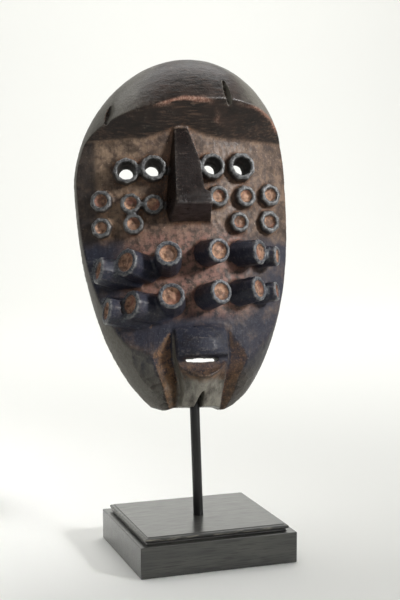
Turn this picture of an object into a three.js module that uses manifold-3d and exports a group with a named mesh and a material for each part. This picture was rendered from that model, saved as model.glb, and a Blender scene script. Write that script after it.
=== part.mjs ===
// Carved wooden face mask with many tubular eyes, held up by a rod on a moulded wooden base.
// Millimetres, +Z up, the origin is the centre of the base's underside, the face looks along -Y.
//
// The mask is shaped in its own frame: x runs across the face, y up the face and z out of it,
// with z = 0 on the flat rim behind and y = 0 near the bottom of the chin.

import * as THREE from 'three';
import { mergeVertices } from 'three/addons/utils/BufferGeometryUtils.js';
import Module from 'manifold-3d';

const wasm = await Module();
wasm.setup();

// Base: a block with a moulding round its top, given as [beyond the top's edge, above the block]
const BASE_WIDTH = 130;
const BASE_DEPTH = 115;
const BLOCK_HEIGHT = 24.9;
const TOP_INSET = 8.1;
const EASED_EDGE = 0.7;
const MOULDING = [[2, 0], [1.1, 0.5], [0.9, 1.7], [2.6, 2.1], [3.1, 3.2], [2.6, 4.4], [1.5, 5.2], [0, 5.5]];

// Rod: straight, leaning a little, its foot in the base and its head in the chin
const ROD_DIAMETER = 8;
const ROD_GAP = 0.3;
const ROD_FOOT = new THREE.Vector3(0.9, -2.9, 13);
const ROD_AT_CHIN = new THREE.Vector3(-1.4, 1.2, 118);
const ROD_IN_CHIN = 14;
const ROD_FOOT_EDGE = 0.5;
const ROD_HEAD_TAPER = 2.5;
const ROD_SIDES = 20;

// How the mask stands
const MASK_FOOT = new THREE.Vector3(0.5, 15, 120);
const TILT_BACK = 14;
const TURN = -4;

// Outer body of the mask: an egg, widest at EGG_LEVEL, a little fuller on its left and leaning at the crown
const HALF_WIDTH = 91.4;
const EGG_SHIFT = 2;
const EGG_LEVEL = 182;
const CROWN = 109.3;
const CROWN_LEAN = 10;
const LEAN_POWER = 1.2;
const JAW = 200;
const JAW_FULLNESS = 2.2;
const DOME_DEPTH = 58;
const DOME_FULLNESS = 2.2;
const CROWN_FULLER = 0.25;
const DOME_CLIMB = 86;
const CHIN_EDGE = [
  [-90, 22], [-38, -1], [-25, -6.2], [-18, -3.8], [16.5, -5], [23, -8.3], [33, -4.3], [90, 38],
];
const EGG_SIDES = 52;
const EGG_RINGS = 11;

// Face surface, cut into the egg and bent round its own upright
const FACE_DEPTH = 35;
const FACE_FALL = 23;
const FACE_REACH = 85;
const FACE_STEP = 8;
const BROW_LEVEL = 215;
const BROW_ARCH = 9;
const BROW_ARCH_HALF = 32;
const BROW_ARCH_CENTRE = -3;
const BROW_SLOPE = 0.7;
const BROW_RUN = 100;

// Hollow behind
const RIM = 10;
const WALL = 9;
const HOLLOW_FLOOR = 18;

// Nose, from its root in the brow to its tip and back under to the face
const NOSE_FLARE = 4;
const NOSE_ROOT = 12;
const NOSE = [
  { level: 144, left: -17.5, right: 17.3, proud: -1 },
  { level: 155.5, left: -18.3, right: 12.7, proud: 27 },
  { level: 165.4, left: -17.4, right: 12.5, proud: 25 },
  { level: 168.3, left: -17.1, right: 7.4, proud: 24 },
  { level: 194.7, left: -13.7, right: 7.8, proud: 13.5 },
  { level: 226, left: -9.5, right: 1.5, proud: 1.5 },
  { level: 231, left: -9.5, right: 1.5, proud: 3.4 },
];

// Tubes. A row has its level, how far its tubes stand proud, how far they lift and the size of their bores.
// Each tube in it is [across, above the row, turn outwards, radius], uneven as the hand left them.
const ROWS = [
  {
    level: 190, proud: 9, lift: 1, bore: 0.6, through: true,
    tubes: [[-51.3, -1, -10, 11.2], [-29.7, 0, -5, 11.2], [19.8, 1, 0, 11.1], [46.7, 2, 4, 12]],
  },
  {
    level: 165, proud: 8, lift: 0, bore: 0.52, through: false,
    tubes: [
      [-72.3, 1, -24, 9.4], [-49.5, -3, -16, 9], [-31.5, -5, -8, 9],
      [24, 1, 4, 9.4], [49.3, 2, 8, 9.4], [74, 5, 14, 9.9],
    ],
  },
  {
    level: 145, proud: 7.5, lift: 0, bore: 0.52, through: false,
    tubes: [[-73, -1, -24, 8.8], [-48, 0, -14, 9], [41.7, 0, 6, 8.9], [71.5, 2, 14, 10]],
  },
  {
    level: 117, proud: 24, lift: 12, bore: 0.6, through: false,
    tubes: [[-78, -8, -82, 11.6], [-58.5, -4, -54, 12.2], [-25.6, 0, -10, 11.4]],
  },
  {
    level: 117, proud: 24, lift: -3, bore: 0.6, through: false,
    tubes: [[16.6, 1, 14, 10.7], [55.4, 1, 42, 10.8], [73.2, -1, 56, 8.8]],
  },
  {
    level: 84, proud: 24, lift: 9, bore: 0.6, through: false,
    tubes: [[-73.5, -8, -84, 11.8], [-56.5, -5, -64, 12.2], [-25.3, -1, -12, 11.4]],
  },
  {
    level: 84, proud: 24, lift: 4, bore: 0.6, through: false,
    tubes: [[16.4, 1, 18, 10.6], [51.8, 4, 40, 10.8], [70.6, 3, 58, 8.6]],
  },
];
const CUP_DEPTH = 4;
const TUBE_SIDES = 14;
const TUBE_ROOT = 13;
const TUBE_FLARE = 1.12;
const TUBE_EDGE = 1.5;
const BORE_TAPER = 0.86;
const TURNED_SINK = 0.8;

// Muzzle: a block with both lips and the chin, between two grooves. Its profile runs up from the chin as
// [level, depth, how far it falls back at the corners, share of the lip's sag]
const MUZZLE_CENTRE = 2;
const MUZZLE_HALF = 21;
const MUZZLE_END = 24;
const MUZZLE_STEPS = 12;
const LIP_SAG = 12;
const MUZZLE_PROFILE = [
  [-12, 10, 0, 0],
  [-12, 16, 3, 0],
  [0, 24, 4, 0],
  [17, 36, 5, 1],
  [18.5, 41, 5, 1],
  [31.5, 34, 2, 0],
  [34.5, 34, 2, 0],
  [35.5, 44.5, 5, 0],
  [40, 46, 6, 0],
  [50, 44.5, 6, 0],
  [58, 39.5, 4, 0],
  [64.5, 33.5, 2, 0],
  [64.5, 10, 0, 0],
];
const SLIT = { centre: 2.5, level: 33, width: 27, height: 3 };

// Grooves: where each level has its bottom, the block's edge beside it and the crest of the cheek
const GROOVE_REACH = 60;
const LEFT_GROOVE = [
  { level: 64, bottom: [-20, 35.5], block: [-19.5, 45], crest: [-40.5, 41.5] },
  { level: 36, bottom: [-19, 24], block: [-19.5, 44], crest: [-40.5, 30] },
  { level: 10, bottom: [-13, 17], block: [-12, 30], crest: [-32, 24] },
  { level: -12, bottom: [-17, 8], block: [-15, 20], crest: [-27, 14] },
];
const RIGHT_GROOVE = [
  { level: 65, bottom: [24, 35], block: [23.5, 44], crest: [45, 40] },
  { level: 35, bottom: [27.5, 25], block: [23, 43], crest: [45, 29.5] },
  { level: 18, bottom: [24, 22], block: [22, 34], crest: [38, 27.5] },
  { level: -12, bottom: [20, 9], block: [17, 20], crest: [30, 14] },
];

// Flat cuts that take the jaw off the cheeks, each through three points of its plane
const JAW_CUTS = [
  [[-70, 52, 19.5], [-39.6, 40.4, 30], [-31, 14.9, 23]],
  [[67.2, 55.3, 20.6], [45.2, 33, 28.5], [39, 4.6, 23]],
];

// Old damage: two chisel notches in the brow and the drying split that shows the rod in the chin
const NOTCHES = [
  { from: [-57.5, 249, 26], to: [-65, 229, 30], width: 6, depth: 7 },
  { from: [33.5, 263, 38], to: [36.5, 240, 46], width: 6, depth: 4 },
];
const NOTCH_SHAPE = [[-0.15, 0.3], [0.5, 1], [1.1, 0.4]];
const NOTCH_BRIM = 20;
const SPLIT = { bottom: [-4.6, 3.6], top: [3.1, 4], foot: -8, height: 9, back: 13 };

// A cutter's reach past whatever it cuts
const BEYOND = 80;

const degrees = THREE.MathUtils.degToRad;

// Solids

function solidOf(geometry) {
  geometry.deleteAttribute('normal');
  geometry.deleteAttribute('uv');
  const merged = mergeVertices(geometry, 1e-4);
  return new wasm.Manifold(new wasm.Mesh({
    numProp: 3,
    vertProperties: Float32Array.from(merged.attributes.position.array),
    triVerts: Uint32Array.from(merged.index.array),
  }));
}

function geometryOf(solid) {
  const mesh = solid.getMesh();
  const geometry = new THREE.BufferGeometry();
  geometry.setAttribute('position', new THREE.BufferAttribute(Float32Array.from(mesh.vertProperties), 3));
  geometry.setIndex(Array.from(mesh.triVerts));
  return geometry;
}

function meshData(points, triangles) {
  const geometry = new THREE.BufferGeometry();
  geometry.setAttribute('position', new THREE.BufferAttribute(new Float32Array(points.flat()), 3));
  geometry.setIndex(triangles);
  return geometry;
}

// A closed solid through rings of equally many points, capped from the middles of its end rings.
// It is turned inside out afterwards if the rings happened to run the wrong way.
function loft(rings) {
  const points = rings.flat();
  const count = rings[0].length;
  const triangles = [];
  const next = (i) => (i + 1) % count;
  for (let ring = 0; ring + 1 < rings.length; ring += 1) {
    for (let i = 0; i < count; i += 1) {
      const a = ring * count + i;
      const b = ring * count + next(i);
      triangles.push(a, b, b + count, a, b + count, a + count);
    }
  }
  for (const last of [false, true]) {
    const start = last ? (rings.length - 1) * count : 0;
    const middle = new THREE.Vector3();
    for (let i = 0; i < count; i += 1) middle.add(new THREE.Vector3(...points[start + i]));
    const tip = points.push(middle.divideScalar(count).toArray()) - 1;
    for (let i = 0; i < count; i += 1) {
      const pair = last ? [start + i, start + next(i)] : [start + next(i), start + i];
      triangles.push(...pair, tip);
    }
  }
  if (volumeOf(points, triangles) < 0) triangles.reverse();
  return solidOf(meshData(points, triangles));
}

function volumeOf(points, triangles) {
  let volume = 0;
  const corner = [new THREE.Vector3(), new THREE.Vector3(), new THREE.Vector3()];
  for (let i = 0; i < triangles.length; i += 3) {
    corner.forEach((vector, k) => vector.set(...points[triangles[i + k]]));
    volume += corner[0].dot(corner[1].cross(corner[2])) / 6;
  }
  return volume;
}

function box(width, height, depth, x, y, z) {
  return solidOf(new THREE.BoxGeometry(width, height, depth).translate(x, y, z));
}

// A turned solid whose axis is +Y, from [radius, height] pairs that start and end on the axis
function turned(profile, sides) {
  const points = profile.map(([radius, height]) => new THREE.Vector2(radius, height));
  return new THREE.LatheGeometry(points, sides);
}

function aimed(geometry, direction, place) {
  geometry.applyQuaternion(new THREE.Quaternion().setFromUnitVectors(new THREE.Vector3(0, 1, 0), direction));
  return solidOf(geometry.translate(place.x, place.y, place.z));
}

// Egg

function eggPoint(angle, shrink, size) {
  const rise = Math.sin(angle);
  const up = rise > 0;
  const share = Math.abs(rise);
  const half = size.halfWidth * Math.sqrt(1 - share ** (up ? 2 : JAW_FULLNESS));
  const lean = EGG_SHIFT + (up ? CROWN_LEAN * share ** LEAN_POWER : 0);
  const side = Math.abs(Math.cos(angle)) < 1e-6 ? 0 : Math.sign(Math.cos(angle));
  return [lean + side * half * shrink, EGG_LEVEL + (up ? size.crown : size.jaw) * rise * shrink];
}

// Rings shrink from the outline on the rim to a small one at the deepest point of the dome
function egg(size) {
  const rings = [];
  for (let ring = 0; ring <= EGG_RINGS; ring += 1) {
    const climb = (ring / EGG_RINGS) * degrees(DOME_CLIMB);
    const points = [];
    for (let side = 0; side < EGG_SIDES; side += 1) {
      const angle = (2 * Math.PI * side) / EGG_SIDES;
      const power = 2 / (DOME_FULLNESS + CROWN_FULLER * Math.sin(angle));
      const shrink = Math.cos(climb) ** power;
      points.push([...eggPoint(angle, shrink, size), size.depth * Math.sin(climb) ** power]);
    }
    rings.push(points);
  }
  return loft(rings);
}

// Face surface

function browLevel(across) {
  return BROW_LEVEL + BROW_ARCH * Math.max(0, 1 - Math.abs(across - BROW_ARCH_CENTRE) / BROW_ARCH_HALF);
}

function faceDepth(across) {
  return FACE_DEPTH - FACE_FALL * (across / FACE_REACH) ** 2;
}

// The block between the face surface, moved outwards by offset, and the plane z = far
function faceBlock(offset, far) {
  const rings = [];
  const steps = Math.ceil((HALF_WIDTH + WALL) / FACE_STEP);
  for (let step = -steps; step <= steps; step += 1) {
    const across = step * FACE_STEP;
    const brow = browLevel(across);
    const surface = [[-BEYOND, 0], [brow, 0], [brow + BROW_RUN, BROW_RUN * BROW_SLOPE]];
    const front = surface.map(([level, rise]) => [across, level, faceDepth(across) + rise + offset]);
    const back = surface.reverse().map(([level]) => [across, level, far]);
    rings.push([...front, ...back]);
  }
  return loft(rings);
}

function nose() {
  const root = FACE_DEPTH - NOSE_ROOT;
  return loft(NOSE.map(({ level, left, right, proud }) => [
    [left - NOSE_FLARE, level, root],
    [right + NOSE_FLARE, level, root],
    [right, level, FACE_DEPTH + proud],
    [left, level, FACE_DEPTH + proud],
  ]));
}

// Tubes

function placedTube(row, tube, profile) {
  const [across, above, turn] = tube;
  const yaw = degrees(turn);
  const lift = degrees(row.lift);
  const direction = new THREE.Vector3(
    Math.sin(yaw) * Math.cos(lift),
    Math.sin(lift),
    Math.cos(yaw) * Math.cos(lift),
  );
  const proud = row.proud * Math.cos(TURNED_SINK * yaw);
  const tip = new THREE.Vector3(across, row.level + above, faceDepth(across) + proud);
  return aimed(turned(profile, TUBE_SIDES), direction, tip);
}

function tubeBody(row, tube) {
  const radius = tube[3];
  const length = row.proud + TUBE_ROOT;
  return placedTube(row, tube, [
    [0, -length],
    [radius * TUBE_FLARE, -length],
    [radius, -TUBE_EDGE],
    [radius - TUBE_EDGE, 0],
    [0, 0],
  ]);
}

function tubeBore(row, tube) {
  const radius = tube[3] * row.bore;
  const depth = row.through ? BEYOND : CUP_DEPTH;
  return placedTube(row, tube, [[0, -depth], [radius * BORE_TAPER, -depth], [radius, 1], [0, 1]]);
}

// Muzzle, lofted from side to side: chin, lower lip, gap, upper lip and the slope up to the face
function muzzle() {
  const rings = [];
  for (let step = 0; step <= MUZZLE_STEPS; step += 1) {
    const across = MUZZLE_CENTRE + MUZZLE_END * (-1 + (2 * step) / MUZZLE_STEPS);
    const bend = ((across - MUZZLE_CENTRE) / MUZZLE_HALF) ** 2;
    const sag = LIP_SAG * Math.min(1, bend);
    rings.push(MUZZLE_PROFILE.map(([level, depth, fall, share]) => [
      across,
      level + share * sag,
      depth - fall * bend,
    ]));
  }
  return loft(rings);
}

// The cutter that trims the bottom to the tips of the cheeks and the chin between them
function chinTrim() {
  const below = [[CHIN_EDGE.at(-1)[0], -BEYOND], [CHIN_EDGE[0][0], -BEYOND]];
  const outline = new THREE.Shape([...CHIN_EDGE, ...below].map(([x, y]) => new THREE.Vector2(x, y)));
  const block = new THREE.ExtrudeGeometry(outline, { depth: 2 * BEYOND, bevelEnabled: false });
  return solidOf(block.translate(0, 0, -BEYOND));
}

// The cutter for a groove: from its bottom out along the block's side, and out over the cheek's crest
// to GROOVE_REACH sideways
function groove(stations) {
  return loft(stations.map(({ level, bottom, block, crest }) => {
    const side = Math.sign(crest[0] - bottom[0]);
    const slope = (crest[1] - bottom[1]) / Math.abs(crest[0] - bottom[0]);
    const outer = [bottom[0] + side * GROOVE_REACH, bottom[1] + slope * GROOVE_REACH];
    const section = [bottom, block, [block[0], BEYOND], [outer[0], BEYOND], outer];
    return section.map(([across, depth]) => [across, level, depth]);
  }));
}

// The cutter in front of the plane through three points
function flatCut(points) {
  const corners = points.map((point) => new THREE.Vector3(...point));
  const plane = new THREE.Plane().setFromCoplanarPoints(...corners);
  if (plane.normal.z < 0) plane.negate();
  const block = new THREE.BoxGeometry(3 * BEYOND, 2 * BEYOND, 3 * BEYOND).translate(0, BEYOND, 0);
  return aimed(block, plane.normal, new THREE.Vector3(...points[1]));
}

// A wedge pressed into the brow from one point to another, deepest along its middle
function notch({ from, to, width, depth }) {
  const start = new THREE.Vector3(...from);
  const end = new THREE.Vector3(...to);
  const out = new THREE.Vector3(0, 0, 1);
  const sideways = end.clone().sub(start).cross(out).setLength(width / 2);
  const station = (share, size) => {
    const foot = start.clone().lerp(end, share);
    const floor = foot.clone().addScaledVector(out, -depth * size);
    const brim = foot.clone().addScaledVector(out, NOTCH_BRIM);
    return [
      floor.toArray(),
      brim.clone().addScaledVector(sideways, 2 * size).toArray(),
      brim.clone().addScaledVector(sideways, -2 * size).toArray(),
    ];
  };
  return loft(NOTCH_SHAPE.map(([share, size]) => station(share, size)));
}

function chinSplit() {
  const station = (level, [left, right]) => [
    [left, level, SPLIT.back],
    [right, level, SPLIT.back],
    [right, level, BEYOND],
    [left, level, BEYOND],
  ];
  return loft([station(SPLIT.foot, SPLIT.bottom), station(SPLIT.height, SPLIT.top)]);
}

// Rod

const rodDirection = ROD_AT_CHIN.clone().sub(ROD_FOOT).normalize();
const rodLength = ROD_AT_CHIN.distanceTo(ROD_FOOT) + ROD_IN_CHIN;

function rodSolid(gap) {
  const radius = ROD_DIAMETER / 2 + gap;
  const profile = [
    [0, -gap],
    [radius - ROD_FOOT_EDGE, -gap],
    [radius, ROD_FOOT_EDGE - gap],
    [radius, rodLength - ROD_HEAD_TAPER + gap],
    [ROD_DIAMETER / 4, rodLength + gap],
    [0, rodLength + gap],
  ];
  return aimed(turned(profile, ROD_SIDES), rodDirection, ROD_FOOT);
}

// Base, as stacked rectangles
function baseSolid() {
  const profile = [
    [EASED_EDGE, 0],
    [0, EASED_EDGE],
    [0, BLOCK_HEIGHT - EASED_EDGE],
    [EASED_EDGE, BLOCK_HEIGHT],
    ...MOULDING.map(([beyond, above]) => [TOP_INSET - beyond, BLOCK_HEIGHT + above]),
  ];
  const rings = profile.map(([inset, height]) => {
    const x = BASE_WIDTH / 2 - inset;
    const y = BASE_DEPTH / 2 - inset;
    return [[-x, -y, height], [x, -y, height], [x, y, height], [-x, y, height]];
  });
  return loft(rings).subtract(rodSolid(ROD_GAP));
}

// Mask

function carvedMask() {
  const outer = { halfWidth: HALF_WIDTH, crown: CROWN, jaw: JAW, depth: DOME_DEPTH };
  const inner = {
    halfWidth: HALF_WIDTH - RIM,
    crown: CROWN - RIM,
    jaw: EGG_LEVEL - HOLLOW_FLOOR,
    depth: DOME_DEPTH - RIM,
  };
  let wood = egg(outer).subtract(faceBlock(0, BEYOND + BROW_RUN));
  wood = wood.add(nose()).add(muzzle());
  wood = wood.subtract(groove(LEFT_GROOVE)).subtract(groove(RIGHT_GROOVE));
  for (const points of JAW_CUTS) wood = wood.subtract(flatCut(points));
  for (const cut of NOTCHES) wood = wood.subtract(notch(cut));
  for (const row of ROWS) {
    for (const tube of row.tubes) wood = wood.add(tubeBody(row, tube));
  }
  wood = wood.subtract(egg(inner).intersect(faceBlock(-WALL, -BEYOND)));
  for (const row of ROWS) {
    for (const tube of row.tubes) wood = wood.subtract(tubeBore(row, tube));
  }
  wood = wood.subtract(box(SLIT.width, SLIT.height, BEYOND, SLIT.centre, SLIT.level, BEYOND / 2 + 1));
  wood = wood.subtract(chinSplit());
  const behind = box(4 * BEYOND, 6 * BEYOND, BEYOND, 0, EGG_LEVEL, -BEYOND / 2);
  return wood.subtract(chinTrim()).subtract(behind);
}

const maskTurn = new THREE.Quaternion().setFromEuler(
  new THREE.Euler(-degrees(TILT_BACK), 0, degrees(TURN), 'ZYX'),
);
const maskUpright = new THREE.Quaternion().setFromEuler(new THREE.Euler(Math.PI / 2, 0, 0));
const maskPlace = new THREE.Matrix4().compose(
  MASK_FOOT,
  maskTurn.clone().multiply(maskUpright),
  new THREE.Vector3(1, 1, 1),
);

// The rod's socket is drilled from the rod as it stands, seen from the mask's own frame
function socket() {
  const drill = geometryOf(rodSolid(ROD_GAP));
  return solidOf(drill.applyMatrix4(maskPlace.clone().invert()));
}

const darkWood = new THREE.MeshStandardMaterial({ color: 0x2e211a, roughness: 0.45, metalness: 0 });
const blackPaintedSteel = new THREE.MeshStandardMaterial({
  color: 0x1c1c1c,
  roughness: 0.4,
  metalness: 0.3,
});
const blackenedWood = new THREE.MeshStandardMaterial({ color: 0x232220, roughness: 0.35, metalness: 0 });

function part(name, geometry, material) {
  const mesh = new THREE.Mesh(geometry, material);
  mesh.name = name;
  return mesh;
}

const mask = part('mask', geometryOf(carvedMask().subtract(socket())), darkWood);
maskPlace.decompose(mask.position, mask.quaternion, mask.scale);

const object = new THREE.Group();
object.add(part('base', geometryOf(baseSolid()), blackenedWood));
object.add(part('rod', geometryOf(rodSolid(0)), blackPaintedSteel));
object.add(mask);

export default object;
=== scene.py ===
# %% [markdown]
# # A carved mask with many tubular eyes, on its display stand
#
# The mask is one piece of hardwood, hollow behind, held up by a rod in a moulded, blackened base. The
# imported model gives their places and sizes. Here the mask is carved again from the same sizes at a
# finer scale, then worn, and the rod and base are made with soft edges.
#
# The frame is loaded first. The finished pieces have to stay inside it.

# %% The frame
import math

import bpy
import numpy as np
from mathutils import Matrix, Vector


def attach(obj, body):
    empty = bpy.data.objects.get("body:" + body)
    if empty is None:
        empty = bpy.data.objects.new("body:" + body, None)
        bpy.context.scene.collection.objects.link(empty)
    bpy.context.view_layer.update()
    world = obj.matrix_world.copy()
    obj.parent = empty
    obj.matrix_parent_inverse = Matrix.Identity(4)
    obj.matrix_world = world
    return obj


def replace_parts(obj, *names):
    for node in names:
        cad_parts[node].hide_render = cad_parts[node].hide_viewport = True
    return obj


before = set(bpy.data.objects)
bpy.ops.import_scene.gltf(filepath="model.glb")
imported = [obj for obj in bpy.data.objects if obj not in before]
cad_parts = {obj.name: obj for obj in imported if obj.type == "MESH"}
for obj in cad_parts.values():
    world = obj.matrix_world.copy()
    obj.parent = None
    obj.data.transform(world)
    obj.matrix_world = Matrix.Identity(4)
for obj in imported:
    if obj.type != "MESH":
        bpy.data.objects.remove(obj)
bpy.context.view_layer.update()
MM = 0.001

# %% [markdown]
# ## Camera
#
# The photograph was taken from slightly to the left and above, with a long lens: the sides of the base
# hardly run together. The camera's place comes from the corners of the base and the rod.

# %% Camera
AZIMUTH = math.radians(-19.11)
PITCH = math.radians(6.51)
DISTANCE = 1.03352
ASIDE = 0.00261
ALOFT = 0.20614
LENS_MM = 75
SENSOR_MM = 36

back = Vector((math.sin(AZIMUTH) * math.cos(PITCH), -math.cos(AZIMUTH) * math.cos(PITCH), math.sin(PITCH)))
right = Vector((math.cos(AZIMUTH), math.sin(AZIMUTH), 0))
above = back.cross(right)
lens = bpy.data.cameras.new("camera")
lens.lens = LENS_MM
lens.sensor_fit = "VERTICAL"
lens.sensor_height = SENSOR_MM
camera = bpy.data.objects.new("camera", lens)
bpy.context.scene.collection.objects.link(camera)
camera.matrix_world = Matrix.Translation(back * DISTANCE + right * ASIDE + above * ALOFT) @ (
    Matrix((right, above, back)).transposed().to_4x4()
)
bpy.context.scene.camera = camera
print("camera at", [round(x, 3) for x in camera.location])

# %% [markdown]
# ## Helpers for shapes
#
# Every piece starts as one of Blender's primitives, whose points are then moved by a rule, which is
# what a sculptor's brush does too. The helpers select a piece, apply a modifier, and hand a mesh's
# points over as three columns of numbers.


# %% Selecting, reading and moving points
def deselect():
    bpy.ops.object.select_all(action="DESELECT")


def pick(piece):
    deselect()
    piece.select_set(True)
    bpy.context.view_layer.objects.active = piece


def points_of(piece, what="co"):
    flat = np.empty(len(piece.data.vertices) * 3)
    piece.data.vertices.foreach_get(what, flat)
    return flat.reshape(-1, 3)


def normals_of(piece):
    return points_of(piece, "normal")


def move_points(piece, places):
    piece.data.vertices.foreach_set("co", np.ascontiguousarray(places).ravel())
    piece.data.update()


def tell(what, piece):
    print(what, len(piece.data.polygons), "faces")


def added(name):
    piece = bpy.context.object
    piece.name = name
    piece.data.name = name
    return piece


def finish_with(piece, kind, **settings):
    pick(piece)
    modifier = piece.modifiers.new(kind.lower(), kind)
    for setting, value in settings.items():
        setattr(modifier, setting, value)
    bpy.ops.object.modifier_apply(modifier=modifier.name)


SAME_POINT = 0.00001


def face_outwards(piece):
    pick(piece)
    bpy.ops.object.mode_set(mode="EDIT")
    bpy.ops.mesh.select_all(action="SELECT")
    bpy.ops.mesh.remove_doubles(threshold=SAME_POINT)
    bpy.ops.mesh.normals_make_consistent(inside=False)
    bpy.ops.object.mode_set(mode="OBJECT")


# %% [markdown]
# ## The mask's own frame
#
# The carver works on a block lying on its back, so the mask has a frame of its own: u runs across the
# face, v up the face and w out of it, in millimetres from the foot of the chin. Only the finished mask
# is leaned back on its rod. In that frame the face looks along -Y, so a place (u, v, w) is (u, -w, v).

# %% From the mask's frame to the model's
MASK_FOOT = Vector((0.5, 15, 120)) * MM
TILT_BACK = math.radians(14)
TURN = math.radians(-4)
PLACE = Matrix.Translation(MASK_FOOT) @ Matrix.Rotation(TURN, 4, "Z") @ Matrix.Rotation(-TILT_BACK, 4, "X")


def standing(u, v, w):
    return np.stack([u, -w, v], axis=-1) * MM


def carving_block(name, cuts, rule):
    """A cube of side 2, subdivided, whose points go where rule(a, b, c) sends them, as (u, v, w)."""
    deselect()
    bpy.ops.mesh.primitive_cube_add(size=2)
    piece = added(name)
    bpy.ops.object.mode_set(mode="EDIT")
    bpy.ops.mesh.select_all(action="SELECT")
    bpy.ops.mesh.subdivide(number_cuts=cuts)
    bpy.ops.object.mode_set(mode="OBJECT")
    a, b, c = points_of(piece).T
    move_points(piece, standing(*rule(a, b, c)))
    face_outwards(piece)
    return piece


def merge(wood, tool, operation):
    """Adds a tool's shape to the wood or cuts it away, and puts the tool back in its box."""
    finish_with(wood, "BOOLEAN", operation=operation, object=tool, solver="MANIFOLD")
    bpy.data.objects.remove(tool)


def between(low, high, share):
    return low + (high - low) * share


# %% [markdown]
# ## The egg
#
# The blank is half an egg, flat behind: a round dome of a forehead that leans a little to one side, and
# a jaw that draws in like a bullet. A sphere is the nearest primitive. Its points are read as an angle
# round the face and a climb towards the front, and sent to the egg's outline and depth.

# %% Egg
HALF_WIDTH = 91.4
EGG_SHIFT = 2
EGG_LEVEL = 182
CROWN = 109.3
CROWN_LEAN = 10
LEAN_POWER = 1.2
JAW = 200
JAW_FULLNESS = 2.2
DOME_DEPTH = 58
DOME_FULLNESS = 2.2
CROWN_FULLER = 0.25
EGG_SEGMENTS = 160
EGG_RINGS = 96


def egg(name, less=0, jaw=JAW):
    deselect()
    bpy.ops.mesh.primitive_uv_sphere_add(segments=EGG_SEGMENTS, ring_count=EGG_RINGS)
    piece = added(name)
    x, y, z = points_of(piece).T
    angle = np.arctan2(y, x)
    climb = np.arcsin(np.clip(np.abs(z), 0, 1))
    power = 2 / (DOME_FULLNESS + CROWN_FULLER * np.sin(angle))
    shrink = np.cos(climb) ** power
    share = np.abs(np.sin(angle))
    up = y > 0
    half = (HALF_WIDTH - less) * np.sqrt(np.clip(1 - share ** np.where(up, 2, JAW_FULLNESS), 0, 1))
    lean = EGG_SHIFT + np.where(up, CROWN_LEAN * share**LEAN_POWER, 0)
    u = lean + np.sign(np.cos(angle)) * half * shrink
    v = EGG_LEVEL + np.where(up, CROWN - less, jaw) * np.sin(angle) * shrink
    w = np.where(z > 0, (DOME_DEPTH - less) * np.sin(climb) ** power, 0)
    move_points(piece, standing(u, v, w))
    face_outwards(piece)
    return piece


wood = egg("mask_wood")
print("egg", [round(x * 1000) for x in wood.dimensions], "mm")

# %% [markdown]
# ## The face
#
# The face is a shallow curved surface sunk into the egg, bent round its own upright, and above the eyes
# it runs out again in a sloping brow that rises to a low arch over the nose. The wood in front of that
# surface is cut away with one big curved block. A like block, set 9 mm deeper and turned inwards,
# bounds the hollow behind.

# %% Face surface
FACE_DEPTH = 35
FACE_FALL = 23
FACE_REACH = 85
BROW_LEVEL = 215
BROW_ARCH = 9
BROW_ARCH_HALF = 32
BROW_ARCH_CENTRE = -3
BROW_SLOPE = 0.7
BROW_RUN = 100
SWEEP_HEIGHT = BROW_ARCH * 0.75
SWEEP_WIDTH = 62
BROW_EVENS_OUT = 30
BLOCK_HALF = HALF_WIDTH + 12
BLOCK_CUTS = 59
BEYOND = 80


def brow_level(u):
    return BROW_LEVEL + BROW_ARCH * np.maximum(0, 1 - np.abs(u - BROW_ARCH_CENTRE) / BROW_ARCH_HALF)


def face_depth(u):
    return FACE_DEPTH - FACE_FALL * (u / FACE_REACH) ** 2


def face_surface(u, b):
    """Level and depth of the face's surface: b runs from -1 at the foot to 0 at the brow and 1 on top."""
    brow = brow_level(u)
    run = np.maximum(0, b) * BROW_RUN
    sweep = BROW_LEVEL + SWEEP_HEIGHT * np.exp(-(((u - BROW_ARCH_CENTRE) / SWEEP_WIDTH) ** 2))
    even = (brow - sweep) * np.clip(run / BROW_EVENS_OUT, 0, 1)
    rise = BROW_SLOPE * (run + even)
    return np.where(b < 0, between(-BEYOND, brow, b + 1), brow + run), face_depth(u) + rise


def face_block(name, far):
    def rule(a, b, c):
        u = a * BLOCK_HALF
        v, w = face_surface(u, b)
        return u, v, between(w, far, (c + 1) / 2)

    return carving_block(name, BLOCK_CUTS, rule)


merge(wood, face_block("face_cutter", BEYOND + BROW_RUN), "DIFFERENCE")
tell("face cut,", wood)

# %% [markdown]
# ## Nose
#
# The nose is a plain wedge. It grows out of the arch of the brow, is widest and deepest at its tip, and
# is cut back under in one slanting plane. Each station of it has its level, its two sides and how far it
# stands proud of the face.

# %% Nose
NOSE_FLARE = 4
NOSE_ROOT = 12
NOSE_LEVELS = [144, 155.5, 165.4, 168.3, 194.7, 226, 231]
NOSE_LEFT = [-17.5, -18.3, -17.4, -17.1, -13.7, -9.5, -9.5]
NOSE_RIGHT = [17.3, 12.7, 12.5, 7.4, 7.8, 1.5, 1.5]
NOSE_PROUD = [-1, 27, 25, 24, 13.5, 1.5, 3.4]


def nose_rule(a, b, c):
    v = np.interp(b, np.linspace(-1, 1, len(NOSE_LEVELS)), NOSE_LEVELS)
    front = (c + 1) / 2
    left = np.interp(v, NOSE_LEVELS, NOSE_LEFT) - NOSE_FLARE * (1 - front)
    far_right = np.interp(v, NOSE_LEVELS, NOSE_RIGHT) + NOSE_FLARE * (1 - front)
    proud = FACE_DEPTH + np.interp(v, NOSE_LEVELS, NOSE_PROUD)
    return between(left, far_right, (a + 1) / 2), v, between(FACE_DEPTH - NOSE_ROOT, proud, front)


merge(wood, carving_block("nose", BLOCK_CUTS, nose_rule), "UNION")
print("nose", round(NOSE_LEVELS[-1] - NOSE_LEVELS[0]), "mm long")

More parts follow.
